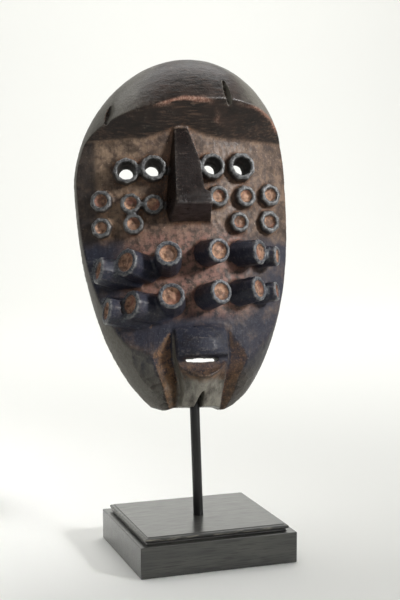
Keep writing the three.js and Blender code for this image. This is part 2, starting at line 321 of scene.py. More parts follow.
# %% [markdown]
# ## Muzzle
#
# Mouth and chin are one block that stands out between two grooves. Its upper lip hangs over like a
# shelf, with a slit under it that goes right through the wood, and the lower lip is a crescent that sags
# between its corners. The profile runs up from the chin, and is bent back towards both sides.

# %% Muzzle
MUZZLE_CENTRE = 2
MUZZLE_HALF = 21
MUZZLE_END = 24
MUZZLE_ROOT = 10
LIP_SAG = 12
MUZZLE_LEVELS = np.array([-12, 0, 17, 18.5, 31.5, 34.5, 35.5, 40, 50, 58, 64.5])
MUZZLE_DEPTHS = np.array([16, 24, 36, 41, 34, 34, 44.5, 46, 44.5, 39.5, 33.5])
MUZZLE_FALLS = np.array([3, 4, 5, 5, 2, 2, 5, 6, 6, 4, 2])
MUZZLE_SAGS = np.array([0, 0, 1, 1, 0, 0, 0, 0, 0, 0, 0])


def muzzle_rule(a, b, c):
    u = MUZZLE_CENTRE + MUZZLE_END * a
    bend = ((u - MUZZLE_CENTRE) / MUZZLE_HALF) ** 2
    sag = LIP_SAG * np.minimum(1, bend)
    station = (b + 1) / 2 * (len(MUZZLE_LEVELS) - 1)
    count = np.arange(len(MUZZLE_LEVELS))
    v = np.interp(station, count, MUZZLE_LEVELS) + sag * np.interp(station, count, MUZZLE_SAGS)
    front = np.interp(station, count, MUZZLE_DEPTHS) - bend * np.interp(station, count, MUZZLE_FALLS)
    return u, v, between(MUZZLE_ROOT, front, (c + 1) / 2)


merge(wood, carving_block("muzzle", BLOCK_CUTS, muzzle_rule), "UNION")
print("muzzle", 2 * MUZZLE_HALF, "mm wide")

# %% [markdown]
# ## Grooves and jaw
#
# A gouge has taken a wide groove down each side of the muzzle: a steep wall against the block, and a long
# facet that rises to the crest of the cheek. Flat cuts then take the jaw off the cheeks. Each level of
# a groove gives its bottom, the top of the wall and the crest, as (u, w).

# %% Grooves
GROOVE_REACH = 60
WALL_SHARE = 0.3
LEFT_GROOVE = [
    (-12, (-17, 8), (-15, 20), (-27, 14)),
    (10, (-13, 17), (-12, 30), (-32, 24)),
    (36, (-19, 24), (-19.5, 44), (-40.5, 30)),
    (64, (-20, 35.5), (-19.5, 45), (-40.5, 41.5)),
]
RIGHT_GROOVE = [
    (-12, (20, 9), (17, 20), (30, 14)),
    (18, (24, 22), (22, 34), (38, 27.5)),
    (35, (27.5, 25), (23, 43), (45, 29.5)),
    (65, (24, 35), (23.5, 44), (45, 40)),
]


def groove(name, stations):
    levels = [station[0] for station in stations]

    def along(v, which, axis):
        return np.interp(v, levels, [station[which][axis] for station in stations])

    def rule(a, b, c):
        v = between(levels[0], levels[-1], (b + 1) / 2)
        bottom_u, bottom_w = along(v, 1, 0), along(v, 1, 1)
        wall_u, wall_w = along(v, 2, 0), along(v, 2, 1)
        slope = (along(v, 3, 1) - bottom_w) / np.abs(along(v, 3, 0) - bottom_u)
        share = (a + 1) / 2
        wall = np.clip(share / WALL_SHARE, 0, 1)
        out = np.clip((share - WALL_SHARE) / (1 - WALL_SHARE), 0, 1) * GROOVE_REACH
        u = between(wall_u, bottom_u, wall) + out * np.sign(bottom_u)
        w = between(wall_w, bottom_w, wall) + out * slope
        return u, v, between(w, BEYOND, (c + 1) / 2)

    return carving_block(name, BLOCK_CUTS, rule)


merge(wood, groove("left_groove", LEFT_GROOVE), "DIFFERENCE")
merge(wood, groove("right_groove", RIGHT_GROOVE), "DIFFERENCE")
tell("grooves cut,", wood)

# %% Jaw and chin
JAW_CUTS = [
    [(-70, 52, 19.5), (-39.6, 40.4, 30), (-31, 14.9, 23)],
    [(67.2, 55.3, 20.6), (45.2, 33, 28.5), (39, 4.6, 23)],
]
CHIN_EDGE_U = [-104, -38, -25, -18, 16.5, 23, 33, 104]
CHIN_EDGE_V = [28, -1, -6.2, -3.8, -5, -8.3, -4.3, 48]
FEW_CUTS = 3


def jaw_cutter(name, corners):
    first, second, third = (np.array(corner, float) for corner in corners)
    normal = np.cross(second - first, third - first)

    def rule(a, b, c):
        u, v = a * BEYOND, between(-BEYOND, BEYOND, (b + 1) / 2)
        w = second[2] - (normal[0] * (u - second[0]) + normal[1] * (v - second[1])) / normal[2]
        return u, v, w + (c + 1) * BEYOND

    return carving_block(name, FEW_CUTS, rule)


def chin_rule(a, b, c):
    u = a * BLOCK_HALF
    return u, between(-BEYOND, np.interp(u, CHIN_EDGE_U, CHIN_EDGE_V), (b + 1) / 2), c * BEYOND


for number, corners in enumerate(JAW_CUTS):
    merge(wood, jaw_cutter(f"jaw_cutter_{number}", corners), "DIFFERENCE")
merge(wood, carving_block("chin_cutter", BLOCK_CUTS, chin_rule), "DIFFERENCE")
tell("jaw and chin trimmed,", wood)

# %% [markdown]
# ## Tubes
#
# Four bored eyes and 22 cups were left standing when the face was cut down. A tube is the same block
# again, with its square section sent to a circle. The carver's knife left flats on it, so its section is
# partly a polygon, and each one has a wider foot, a softened rim and a shallow cup. The lower rows are
# listed in two halves, because the tubes of one half are lifted more than those of the other.

# %% The rows of tubes
# level, proud of the face, lift in degrees, share bored out, through, and for each tube
# (across, above the level, turn outwards in degrees, radius, flats round it)
ROWS = [
    (190, 9, 1, 0.6, True, [
        (-51.3, -1, -10, 11.2, 8), (-29.7, 0, -5, 11.2, 9), (19.8, 1, 0, 11.1, 9), (46.7, 2, 4, 12, 8),
    ]),
    (165, 8, 0, 0.5, False, [
        (-72.3, 1, -24, 9.4, 8), (-49.5, -3, -16, 9, 9), (-31.5, -5, -8, 9, 9),
        (24, 1, 4, 9.4, 8), (49.3, 2, 8, 9.4, 9), (74, 5, 14, 9.9, 7),
    ]),
    (145, 7.5, 0, 0.5, False, [
        (-73, -1, -24, 8.8, 7), (-48, 0, -14, 9, 9), (41.7, 0, 6, 8.9, 8), (71.5, 2, 14, 10, 7),
    ]),
    (117, 24, 12, 0.58, False, [
        (-78, -8, -82, 11.6, 9), (-58.5, -4, -54, 12.2, 10), (-25.6, 0, -10, 11.4, 11),
    ]),
    (117, 24, -3, 0.58, False, [
        (16.6, 1, 14, 10.7, 11), (55.4, 1, 42, 10.8, 9), (73.2, -1, 56, 8.8, 9),
    ]),
    (84, 24, 9, 0.58, False, [
        (-73.5, -8, -84, 11.8, 9), (-56.5, -5, -64, 12.2, 10), (-25.3, -1, -12, 11.4, 11),
    ]),
    (84, 24, 4, 0.58, False, [
        (16.4, 1, 18, 10.6, 11), (51.8, 4, 40, 10.8, 9), (70.6, 3, 58, 8.6, 9),
    ]),
]
TUBE_ROOT = 13
TUBE_FLARE = 1.12
TURNED_SINK = 0.8
CUP_DEPTH = 4
FLATNESS = 0.8
MEAN_FLAT = 0.55
NEXT_PHASE = 1.7
TUBE_CUTS = 23


def tube_table():
    table = []
    for level, proud, lift, bore, through, tubes in ROWS:
        for across, over, turn, radius, flats in tubes:
            yaw, rise = math.radians(turn), math.radians(lift)
            axis = np.array([math.sin(yaw) * math.cos(rise), math.sin(rise), math.cos(yaw) * math.cos(rise)])
            side = np.cross([0, 1, 0], axis)
            side /= np.linalg.norm(side)
            out = face_depth(across) + proud * math.cos(TURNED_SINK * yaw)
            table.append({
                "tip": np.array([across, level + over, out]),
                "axes": np.stack([side, np.cross(axis, side), axis]),
                "length": proud + TUBE_ROOT,
                "radius": radius,
                "bore": radius * bore,
                "flats": flats,
                "through": through,
            })
    return table


TUBES = tube_table()
print(len(TUBES), "tubes, the longest", max(tube["length"] for tube in TUBES), "mm with its root")


# %% Tube bodies and the cutters for their cups
def round_section(a, b):
    """Sends a square to a disc, ring by ring: the radius from 0 to 1, and the angle."""
    wide = np.abs(a) >= np.abs(b)
    radius = np.where(wide, a, b)
    safe = np.where(radius == 0, 1, radius)
    angle = np.where(wide, math.pi / 4 * b / safe, math.pi / 2 - math.pi / 4 * a / safe)
    return np.abs(radius), np.where(radius < 0, angle + math.pi, angle)


def knife_flats(angle, count, phase):
    half = math.pi / count
    return between(1, math.cos(half * MEAN_FLAT) / np.cos((angle + phase) % (2 * half) - half), FLATNESS)


def tube_solid(name, tube, number, stations, heights, radii, dish=0, droop=0):
    def rule(a, b, c):
        ring, angle = round_section(a, b)
        share = (c + 1) / 2
        height = np.interp(share, stations, heights) + dish * (1 - ring**2) * (share == 0)
        flats = knife_flats(angle, tube["flats"], number * NEXT_PHASE)
        radius = np.interp(share, stations, radii) * ring * flats
        sunk = np.interp(share, stations, [droop, droop] + [0] * (len(stations) - 2))
        local = np.stack([radius * np.cos(angle), radius * np.sin(angle) - sunk, height], axis=-1)
        return (tube["tip"] + local @ tube["axes"]).T

    return carving_block(name, TUBE_CUTS, rule)


# along a tube or cup: share of the block's length, height over the rim, and wider than the radius by
ROUNDED_RIM = np.array([
    (0.8, -2.6, 0), (0.875, -1.2, -0.25), (0.917, -0.5, -0.7), (0.96, -0.1, -1.3), (1, 0, -1.7),
])
FLARED_MOUTH = np.array([(0.75, -1.6, 0), (0.84, -0.6, 0.35), (0.92, 0.1, 0.9), (1, 3, 1.2)])
EYE = {"bottom": [-BEYOND, -15], "narrows": 0.74, "dish": 0, "droop": 1.5}
CUP = {"bottom": [-CUP_DEPTH, -CUP_DEPTH * 0.7], "narrows": 0.82, "dish": 1.2, "droop": 0}
CUP_BOTTOM = [0, 0.4]
CUP_TURNED = 3


def tube_body(number, tube):
    shares, heights, wider = ROUNDED_RIM.T
    radii = [tube["radius"] * TUBE_FLARE, *(tube["radius"] + wider)]
    return tube_solid(f"tube_{number}", tube, number, [0, *shares], [-tube["length"], *heights], radii)


def cup_cutter(number, tube):
    form = EYE if tube["through"] else CUP
    shares, heights, wider = FLARED_MOUTH.T
    return tube_solid(
        f"cup_{number}", tube, number + CUP_TURNED,
        [*CUP_BOTTOM, *shares],
        [*form["bottom"], *heights],
        [tube["bore"] * form["narrows"]] * 2 + [*(tube["bore"] + wider)],
        form["dish"], form["droop"],
    )


def joined(pieces):
    deselect()
    for piece in pieces:
        piece.select_set(True)
    bpy.context.view_layer.objects.active = pieces[0]
    bpy.ops.object.join()
    return pieces[0]


joined([wood] + [tube_body(number, tube) for number, tube in enumerate(TUBES)])
tell("with its tubes,", wood)

# %% [markdown]
# ## One piece of wood again
#
# The tubes overlap the face and each other. A voxel remesh wraps one skin round all of them, as clay
# would close, and gives an even mesh that the finer cuts and the tool marks can be made in.

# %% First remesh
FIRST_VOXEL = 0.8
finish_with(wood, "REMESH", mode="VOXEL", voxel_size=FIRST_VOXEL * MM)
tell("one skin,", wood)

# %% [markdown]
# ## Hollow, bores, mouth and chin
#
# The inside is hollowed to a wall of about 9 mm and a flat rim of 10 mm, so that it could be worn. The
# four eyes are bored right through, the other tubes only have cups. The mouth is a narrow slit, and the
# chin has the socket for the rod, which a drying split has opened at the front.

# %% Hollow and cups
RIM = 10
WALL = 9
HOLLOW_FLOOR = 18
ON_THE_BACK = -0.000001
BEHIND_IT = 0.01


def below_the_face(a, b, c):
    u = a * BLOCK_HALF
    v, w = face_surface(u, b)
    return u, v, between(-BEYOND, w - WALL, (c + 1) / 2)


hollow = egg("hollow", less=RIM, jaw=EGG_LEVEL - HOLLOW_FLOOR)
u, down, v = points_of(hollow).T
move_points(hollow, np.stack([u, np.where(down > ON_THE_BACK, BEHIND_IT, down), v], axis=-1))
merge(hollow, carving_block("inner_face", BLOCK_CUTS, below_the_face), "INTERSECT")
merge(wood, hollow, "DIFFERENCE")
merge(wood, joined([cup_cutter(number, tube) for number, tube in enumerate(TUBES)]), "DIFFERENCE")
tell("hollowed,", wood)

# %% Mouth slit, notches and split
SLIT = ((-11, 32, 0), (16, 34, BEYOND))
SLIT_ARCH = 0.7
# from, to, width and depth of a notch, then its outline: share of its length, share of its width
NOTCHES = [((-57.5, 249, 26), (-65, 229, 30), 6, 7), ((33.5, 263, 38), (36.5, 240, 46), 6, 4)]
NOTCH_SHARES = [-0.25, 0.5, 1, 1.15]
NOTCH_SIZES = [0.1, 1, 0.75, 0.2]
NOTCH_TOP = 20
NOTCH_OPENS = (0.05, 2.4)
SPLIT_LEVELS = [-12, 0, 9, 14]
SPLIT_LEFT = [-5.4, -1.4, 3.1, 3.9]
SPLIT_RIGHT = [3.6, 3.9, 4.1, 4.3]
SPLIT_OPEN = [1, 1, 1, 0.2]
SPLIT_BACK = 13
SMALL_CUTS = 19


def slit_rule(a, b, c):
    shares = [(x + 1) / 2 for x in (a, b, c)]
    u, v, w = (between(low, high, share) for low, high, share in zip(*SLIT, shares))
    middle = (SLIT[0][0] + SLIT[1][0]) / 2
    return u, v + SLIT_ARCH * (1 - np.abs(u - middle) / (SLIT[1][0] - middle)) * np.sign(b), w


def notch(name, start, end, width, depth):
    start, end = np.array(start, float), np.array(end, float)
    across = np.cross(end - start, (0, 0, 1))
    across *= width / 2 / np.linalg.norm(across)

    def rule(a, b, c):
        share = between(NOTCH_SHARES[0], NOTCH_SHARES[-1], (b + 1) / 2)
        size = np.interp(share, NOTCH_SHARES, NOTCH_SIZES)
        up = (c + 1) / 2
        foot = start + np.outer(share, end - start)
        foot[:, 2] += between(-depth * size, NOTCH_TOP, up)
        return (foot + (a * size * between(*NOTCH_OPENS, up))[:, None] * across).T

    return carving_block(name, SMALL_CUTS, rule)


def split_rule(a, b, c):
    v = between(SPLIT_LEVELS[0], SPLIT_LEVELS[-1], (b + 1) / 2)
    left, far, wide = (np.interp(v, SPLIT_LEVELS, sizes) for sizes in (SPLIT_LEFT, SPLIT_RIGHT, SPLIT_OPEN))
    return between(left, left + (far - left) * wide, (a + 1) / 2), v, between(SPLIT_BACK, BEYOND, (c + 1) / 2)


merge(wood, carving_block("slit", BLOCK_CUTS, slit_rule), "DIFFERENCE")
for number, cut in enumerate(NOTCHES):
    merge(wood, notch(f"notch_{number}", *cut), "DIFFERENCE")
merge(wood, carving_block("split", SMALL_CUTS, split_rule), "DIFFERENCE")
tell("mouth, notches and split cut,", wood)

# %% Socket
ROD_FOOT = Vector((0.9, -2.9, 13))
ROD_AT_CHIN = Vector((-1.4, 1.2, 118))
ROD_IN_CHIN = 14
ROD_RADIUS = 4
ROD_GAP = 0.3
ROUND_SIDES = 64
rod_axis = (ROD_AT_CHIN - ROD_FOOT).normalized()
rod_length = (ROD_AT_CHIN - ROD_FOOT).length + ROD_IN_CHIN
rod_turn = Vector((0, 0, 1)).rotation_difference(rod_axis).to_matrix().to_4x4()


def round_bar(name, radius, length, middle, frame=Matrix.Identity(4)):
    """A cylinder on the rod's axis, its middle so far along it from the rod's foot."""
    deselect()
    bpy.ops.mesh.primitive_cylinder_add(vertices=ROUND_SIDES, radius=radius * MM, depth=length * MM)
    bar = added(name)
    bar.data.transform(frame @ Matrix.Translation((ROD_FOOT + rod_axis * middle) * MM) @ rod_turn)
    return bar


deep = rod_length + ROD_GAP - ROD_IN_CHIN
drill = round_bar("drill", ROD_RADIUS + ROD_GAP, 2 * ROD_IN_CHIN, deep, PLACE.inverted())
merge(wood, drill, "DIFFERENCE")
tell("socket drilled,", wood)

# %% Second remesh
SECOND_VOXEL = 0.75
SOFTENING = {"factor": 0.5, "iterations": 4}
finish_with(wood, "REMESH", mode="VOXEL", voxel_size=SECOND_VOXEL * MM)
finish_with(wood, "SMOOTH", **SOFTENING)
tell("even skin,", wood)

# %% [markdown]
# ## Tool marks
#
# An adze and a knife leave shallow scoops, long on the forehead, small between the tubes and coarse in
# the hollow. Cells round scattered points give them, each hollowed a little towards its middle. A slow
# noise makes the large surfaces as uneven as the hand left them.

# %% Scattered points and slow noise
SEED = 7
CELLS = 256
dice = np.random.default_rng(SEED)
SHUFFLE = dice.permutation(CELLS)
SCATTER = dice.random((CELLS, 3))
SCOOP_FLANK = 0.7
SCOOP_FULLNESS = 0.7
FAR_OFF = 9.0


def lattice(cells):
    x, y, z = (cells.astype(int) % CELLS).T
    return SCATTER[SHUFFLE[(SHUFFLE[(SHUFFLE[x] + y) % CELLS] + z) % CELLS]]


def scoops(places):
    """0 at the ridge between two scoops, and down to -1 in the middle of one."""
    floor = np.floor(places)
    nearest = np.full(len(places), FAR_OFF)
    second = np.full(len(places), FAR_OFF)
    for step in np.ndindex(3, 3, 3):
        cell = floor + np.array(step) - 1
        far = np.linalg.norm(cell + lattice(cell) - places, axis=1)
        second = np.minimum(second, np.maximum(nearest, far))
        nearest = np.minimum(nearest, far)
    return -np.clip((second - nearest) / SCOOP_FLANK, 0, 1) ** SCOOP_FULLNESS


def slow_noise(places):
    """A smooth noise between -1 and 1, one swell to each unit."""
    floor = np.floor(places)
    part = places - floor
    part = part * part * (3 - 2 * part)
    total = np.zeros(len(places))
    for step in np.ndindex(2, 2, 2):
        weight = np.prod(np.where(step, part, 1 - part), axis=1)
        total += weight * lattice(floor + np.array(step))[:, 0]
    return 2 * total - 1


print("scoops run from", scoops(dice.random((500, 3)) * 9).min().round(2), "to 0")


# %% Where a point of the mask lies
def mask_places(piece, placed=False):
    """Points and normals of a piece in the mask's frame: u, v, w in mm, and the normal's three parts."""
    turn = PLACE.inverted() if placed else Matrix.Identity(4)
    turn = np.array(turn)
    here = points_of(piece) @ turn[:3, :3].T + turn[:3, 3]
    facing = normals_of(piece) @ turn[:3, :3].T
    order = [0, 2, 1]
    flip = [1, 1, -1]
    return (here / MM)[:, order] * flip, facing[:, order] * flip


def fade(value, low, high):
    """0 up to low and 1 from high on, or the other way round, with soft ends."""
    share = np.clip((value - low) / (high - low), 0, 1)
    return share * share * (3 - 2 * share)


def above_face(places):
    """How far a point stands out of the face's surface, the brow's slope included."""
    u, v, w = places.T
    rise = np.maximum(0, v - brow_level(u)) * BROW_SLOPE
    return w - face_depth(u) - rise


def zones_of(places, facing):
    """Shares from 0 to 1: in a cup, on a tube, in a bore, on the face and so on, faded over some mm."""
    u, v, w = places.T
    proud = above_face(places)
    cup, tube, bore, rim = (np.zeros(len(places)) for _ in range(4))
    for row in TUBES:
        local = (places - row["tip"]) @ row["axes"].T
        ring = np.hypot(local[:, 0], local[:, 1])
        depth = local[:, 2]
        near = fade(row["radius"] * 1.3 - ring, 0, 0.8) * fade(depth, -row["length"] + 4, -row["length"] + 8)
        tube = np.maximum(tube, near * fade(2.5 - depth, 0, 1) * fade(proud, 0.8, 2.2))
        inside = fade(row["bore"] + 1.6 - ring, 0, 1) * fade(-depth, 1.4, 2.4)
        rim = np.maximum(rim, near * fade(np.abs(depth + 0.6), 2, 1) * fade(ring - row["bore"], -0.5, 0.8))
        if row["through"]:
            bore = np.maximum(bore, inside)
        else:
            cup = np.maximum(cup, inside * fade(depth, -CUP_DEPTH - 2.5, -CUP_DEPTH - 1))
    behind = fade(-facing[:, 2], 0.05, 0.35) * fade(-proud, WALL - 3.5, WALL - 2) * (1 - bore)
    flat = fade(2.2 - np.abs(proud), 0, 1.2) * (1 - tube) * (1 - cup)
    slope = flat * fade(v - brow_level(u), 0, 3)
    shares = {"cup": cup, "tube": tube * (1 - cup), "bore": bore, "face": flat - slope, "slope": slope}
    return shares | {"hollow": behind, "rim": rim * (1 - cup)}


places, facing = mask_places(wood)
zones = zones_of(places, facing)
print("shares of the surface:", {name: round(float(share.mean()), 3) for name, share in zones.items()})

# %% Carving the marks
# size and depth of a swell, then of the scoops of each zone: depth, and size across, up and out, in mm
SWELLS = [(38, 0.35), (9, 0.12)]
SCOOPS = [
    ("dome", 0.2, (13, 5.5, 6)),
    ("slope", 0.2, (24, 2.6, 4)),
    ("face", 0.34, (6, 8, 6)),
    ("hollow", 0.55, (8, 15, 9)),
    ("tube", 0.24, (4, 4, 9)),
]
TORN_FIBRE, TORN_DEPTH = 1.9, 0.45
COARSER_BELOW = (75, 45)
covered = sum(share for name, share in zones.items() if name != "rim")
zones["dome"] = np.clip(1 - covered, 0, 1) * (1 + fade(places[:, 1], *COARSER_BELOW))
depth = sum(most * slow_noise(places / size) for size, most in SWELLS)
for name, most, size in SCOOPS:
    depth += most * zones[name] * scoops(places / size)
depth += TORN_DEPTH * zones["cup"] * slow_noise(places / TORN_FIBRE)
depth -= depth.max()
move_points(wood, points_of(wood) + normals_of(wood) * (depth * MM)[:, None])
print("marks from", depth.min().round(2), "to", depth.max().round(2), "mm")

# %% Thinning, and the place on the rod
MOST_TRIANGLES = 190000
triangles = sum(len(face.vertices) - 2 for face in wood.data.polygons)
finish_with(wood, "DECIMATE", ratio=min(1, MOST_TRIANGLES / triangles))
wood.data.transform(PLACE)
pick(wood)
bpy.ops.object.shade_smooth()
print("the mask has", len(wood.data.polygons), "triangles")

# %% [markdown]
# ## Where the wood is worn, and where light and shade are painted
#
# The finish follows the carving: the tubes are black and polished by hands, raw wood shows in the cups,
# brown dust and wear sit in the recesses, and edges are rubbed, their paleness partly painted highlight.
# Some shares also mark painted light and shade: a sheen on the sides and the turned-away dome, a lit
# underside and left cheek, a shaded nose and left edge. These shares are measured on the mesh and kept
# with its points, for the material to read. How hollow or sharp a place is comes from comparing each
# point with the average of the points round it.


# %% Sharpness and shelter
def averaged(piece, values, rounds):
    ends = np.empty(len(piece.data.edges) * 2, int)
    piece.data.edges.foreach_get("vertices", ends)
    one, two = ends.reshape(-1, 2).T
    count = len(piece.data.vertices)
    links = np.bincount(one, minlength=count) + np.bincount(two, minlength=count)
    for _ in range(rounds):
        total = [
            np.bincount(one, column[two], count) + np.bincount(two, column[one], count) for column in values.T
        ]
        values = (values + np.stack(total, axis=-1) / links[:, None]) / 2
    return values


def sharpness(piece, rounds):
    """Above 0 on an edge, below 0 in a corner, in mm."""
    places = points_of(piece) / MM
    return np.sum((places - averaged(piece, places, rounds)) * normals_of(piece), axis=1)


FINE, MEDIUM, BROAD = 4, 16, 60
fine, medium, broad = (sharpness(wood, rounds) for rounds in (FINE, MEDIUM, BROAD))
print("sharpest", [round(float(measure.max()), 2) for measure in (fine, medium, broad)], "mm")


# %% Shares kept on the mesh
def keep(piece, name, shares):
    kept = piece.data.color_attributes.new(name, "FLOAT_COLOR", "POINT")
    colour = np.ones((len(piece.data.vertices), 4))
    for channel, share in enumerate(shares):
        colour[:, channel] = np.clip(share, 0, 1)
    kept.data.foreach_set("color", colour.ravel())


def beside(centre, full, none):
    return fade(np.abs(u - centre), none, full)


# in the fades, u, v, w and below are places in mm, and across, up and out parts of the normal
places, facing = mask_places(wood, placed=True)
zones = zones_of(places, facing)
u, v, w = places.T
across, up, out = facing.T
below = -above_face(places)
free = 1 - np.maximum(zones["tube"], zones["hollow"])
# the smooth grey sides and the thin edge behind, their grey partly painted sheen, browner low on the right
grey_sides_and_sheen = np.maximum(
    fade(below, 0.8, 2.5) * fade(out, -0.3, 0.1) * fade(w, 6, 2),
    fade(below, 1, 3) * fade(np.abs(across), 0.28, 0.6),
) * free
grey_sides_and_sheen *= 1 - 0.75 * fade(u, 0, 20) * fade(v, 90, 60)
# the rubbed crest over the brow, and a scratch down its slope
crest = fade(broad, 0.45, 1.2) * fade(below, 3.2, 1.4)
crest *= fade(v - brow_level(u), 8, 14) * fade(u, -52, -40) * free
SCRATCH = [(31.7, 239.3), (30.6, 232.8), (26.6, 228.4), (23.1, 224.8)]
for start, end in zip(SCRATCH, SCRATCH[1:]):
    along = np.array(end) - start
    share = np.clip((places[:, :2] - start) @ along / (along @ along), 0, 1)
    apart = np.linalg.norm(places[:, :2] - start - share[:, None] * along, axis=1)
    crest = np.maximum(crest, 0.6 * fade(apart, 0.8, 0.1) * zones["slope"])
# a dusty grey where the dome turns away, partly painted sheen
dust_and_sheen = fade(out, 0.75, 0.35) * fade(out, -0.2, 0.1) * fade(np.abs(across), 0.15, 0.5)
dust_and_sheen *= fade(v, 195, 235) * fade(below, 0.5, 2)
# blue black round the lower rows of tubes, and the redder wood left bare between them
blue_black_tint = fade(v, 138, 126) * fade(v, 16, 34) * (1 - grey_sides_and_sheen) * (1 - zones["cup"])
blue_black_tint *= 1 - 0.85 * zones["face"] * fade(v, 62, 78) * beside(-2, 40, 66)
ember = zones["face"] * fade(v, 150, 128) * fade(v, 62, 78) * beside(-2, 30, 62)
# the nose painted blackest, partly painted shade; painted light from below on its underside; painted shade on
# the left edge of the face; painted fill light making the left cheek paler
nose = fade(-below, 1.5, 3) * beside(-3, 22, 26) * fade(v, 140, 146) * fade(v, 234, 228) * free
painted_underside_light = nose * fade(up, -0.2, -0.5)
shade = zones["face"] * fade(u, -69, -76)
left = zones["face"] * fade(u, -26, -50) * fade(v, 130, 150)
# tan wood in the grooves and on the lower lip, and the grey chin
fold = beside(1, 20, 16) * beside(1, 38, 44) * fade(v, 66, 60) * fade(w, 6, 12)
fold *= fade(across * np.sign(1 - u), 0.04, 0.25) * np.where(u > 0, 0.6, 1) * free
fold = np.maximum(fold, 0.5 * beside(2, 18, 22) * fade(np.abs(v - 24), 9, 6) * free)
chin = beside(2, 16, 20) * fade(v, 20, 14) * free
crevice = fade(-medium, 0.25, 1.1) * (1 - zones["cup"])
KEPT = {
    "places": {name: zones[name] for name in ("cup", "tube", "face")},
    "wear_and_sheen": {"edge": fade(fine, 0.03, 0.2), "recess": fade(-broad, 0.3, 2.5), "grey_sides_and_sheen": grey_sides_and_sheen},
    "behind": {name: zones[name] for name in ("hollow", "bore", "rim")},
    "painted_light_and_shade": {"left": left, "shade": shade, "painted_underside_light": painted_underside_light},
    "tones": {"strip": crest, "blue_black_tint": blue_black_tint, "ember": ember},
    "front": {"nose": nose, "slope": zones["slope"], "crevice": crevice},
    "carved": {"dust_and_sheen": dust_and_sheen, "fold": fold, "chin": chin},
}
for name, kept in KEPT.items():
    keep(wood, name, kept.values())
    print("kept", {share: round(float(value.mean()), 3) for share, value in kept.items()})

# %% [markdown]
# ## Rod
#
# A display rod is drawn steel, sawn off, its ends eased with a file and sprayed satin black. It leans a
# little, from its hole in the base to the socket in the chin. A cylinder with bevelled ends is
# all that it needs, turned onto its axis.

# %% Rod
FILED_EDGE = 0.6
SQUARE_EDGE = math.radians(60)
CREASE = math.radians(40)
rod = round_bar("display_rod", ROD_RADIUS, rod_length, rod_length / 2)
finish_with(rod, "BEVEL", width=FILED_EDGE * MM, segments=3, limit_method="ANGLE", angle_limit=SQUARE_EDGE)
pick(rod)
bpy.ops.object.shade_smooth_by_angle(angle=CREASE)
print("rod", round(rod_length, 1), "mm long,", 2 * ROD_RADIUS, "mm thick")

# %% [markdown]
# ## Base
#
# The base is a block of beech, moulded round its top with a cove, a rounded nose and a fine quirk behind
# it, stained black and lacquered. A cube is the block. Its top face is extruded in small steps and resized
# each time, in towards the middle and out again, so that each step is mitred at the corners as
# a moulding is. Corner cutting turns the measured steps into curves.

# %% Base
BASE_WIDTH = 130
BASE_DEPTH = 115
BLOCK_HEIGHT = 24.9
TOP_INSET = 8.1
EASED_EDGE = 0.7
# from the foot of the moulding up: how far past its inner edge, and how high over the block
MOULDING = [
    (2, 0), (1.1, 0.5), (0.9, 1.7), (2.6, 2.1), (3.1, 3.2), (2.8, 4.3), (1.9, 4.9), (0.9, 5), (0.5, 4.7),
    (0.2, 5), (0, 5.5),
]
CORNER_CUT = 0.25
ROUNDINGS = 2
UPWARD, LARGE = 0.99, 0.001


def moulding_line():
    """Steps of the moulding, each the distance in from the block's side and the height over the block."""
    line = np.array([(TOP_INSET - beyond, over) for beyond, over in MOULDING], float)
    for _ in range(ROUNDINGS):
        near, far = (between(line[:-1], line[1:], cut) for cut in (CORNER_CUT, 1 - CORNER_CUT))
        line = np.concatenate([line[:1], np.stack([near, far], axis=1).reshape(-1, 2), line[-1:]])
    return line


deselect()
bpy.ops.mesh.primitive_cube_add(size=1, location=(0, 0, BLOCK_HEIGHT / 2 * MM))
bpy.ops.transform.resize(value=(BASE_WIDTH * MM, BASE_DEPTH * MM, BLOCK_HEIGHT * MM))
base = added("display_base")
bpy.ops.object.transform_apply(location=True, rotation=False, scale=True)
finish_with(base, "BEVEL", width=EASED_EDGE * MM, segments=3)
for face in base.data.polygons:
    face.select = face.normal.z > UPWARD and face.area > LARGE
bpy.ops.object.mode_set(mode="EDIT")
inset, height = EASED_EDGE, 0
for step_in, step_up in moulding_line():
    bpy.ops.mesh.extrude_region_move(TRANSFORM_OT_translate={"value": (0, 0, (step_up - height) * MM)})
    narrower = [(side / 2 - step_in) / (side / 2 - inset) for side in (BASE_WIDTH, BASE_DEPTH)]
    bpy.ops.transform.resize(value=(*narrower, 1), center_override=(0, 0, 0))
    inset, height = step_in, step_up
bpy.ops.object.mode_set(mode="OBJECT")
print("base", [round(x * 1000, 2) for x in base.dimensions], "mm,", len(base.data.polygons), "faces")

# %% Hole for the rod
DRILL_LENGTH = 60
MOULDING_CREASE = math.radians(32)
drill = round_bar("base_drill", ROD_RADIUS + ROD_GAP, DRILL_LENGTH, DRILL_LENGTH / 2 - ROD_GAP)
merge(base, drill, "DIFFERENCE")
pick(base)
bpy.ops.object.shade_smooth_by_angle(angle=MOULDING_CREASE)
finish_with(base, "WEIGHTED_NORMAL", weight=100, keep_sharp=True)
print("drilled", round(BLOCK_HEIGHT + MOULDING[-1][1] - ROD_FOOT.z, 1), "mm deep")

# %% [markdown]
# ## Helpers for finishes
#
# A finish is a tree of nodes that reads the mesh's own coordinates in metres, so that a grain or a pore
# keeps its real size. One function adds a node, its settings and its links; colours are written as on
# a screen and turned to linear values.


# %% Nodes and colours
def linear(code):
    values = [int(code[place : place + 2], 16) / 255 for place in (1, 3, 5)]
    return [x / 12.92 if x <= 0.04045 else ((x + 0.055) / 1.055) ** 2.4 for x in values] + [1]


def new_finish(piece, name):
    finish = bpy.data.materials.new(name)
    finish.use_nodes = True
    piece.data.materials.clear()
    piece.data.materials.append(finish)
    return finish.node_tree, finish.node_tree.nodes["Principled BSDF"].inputs


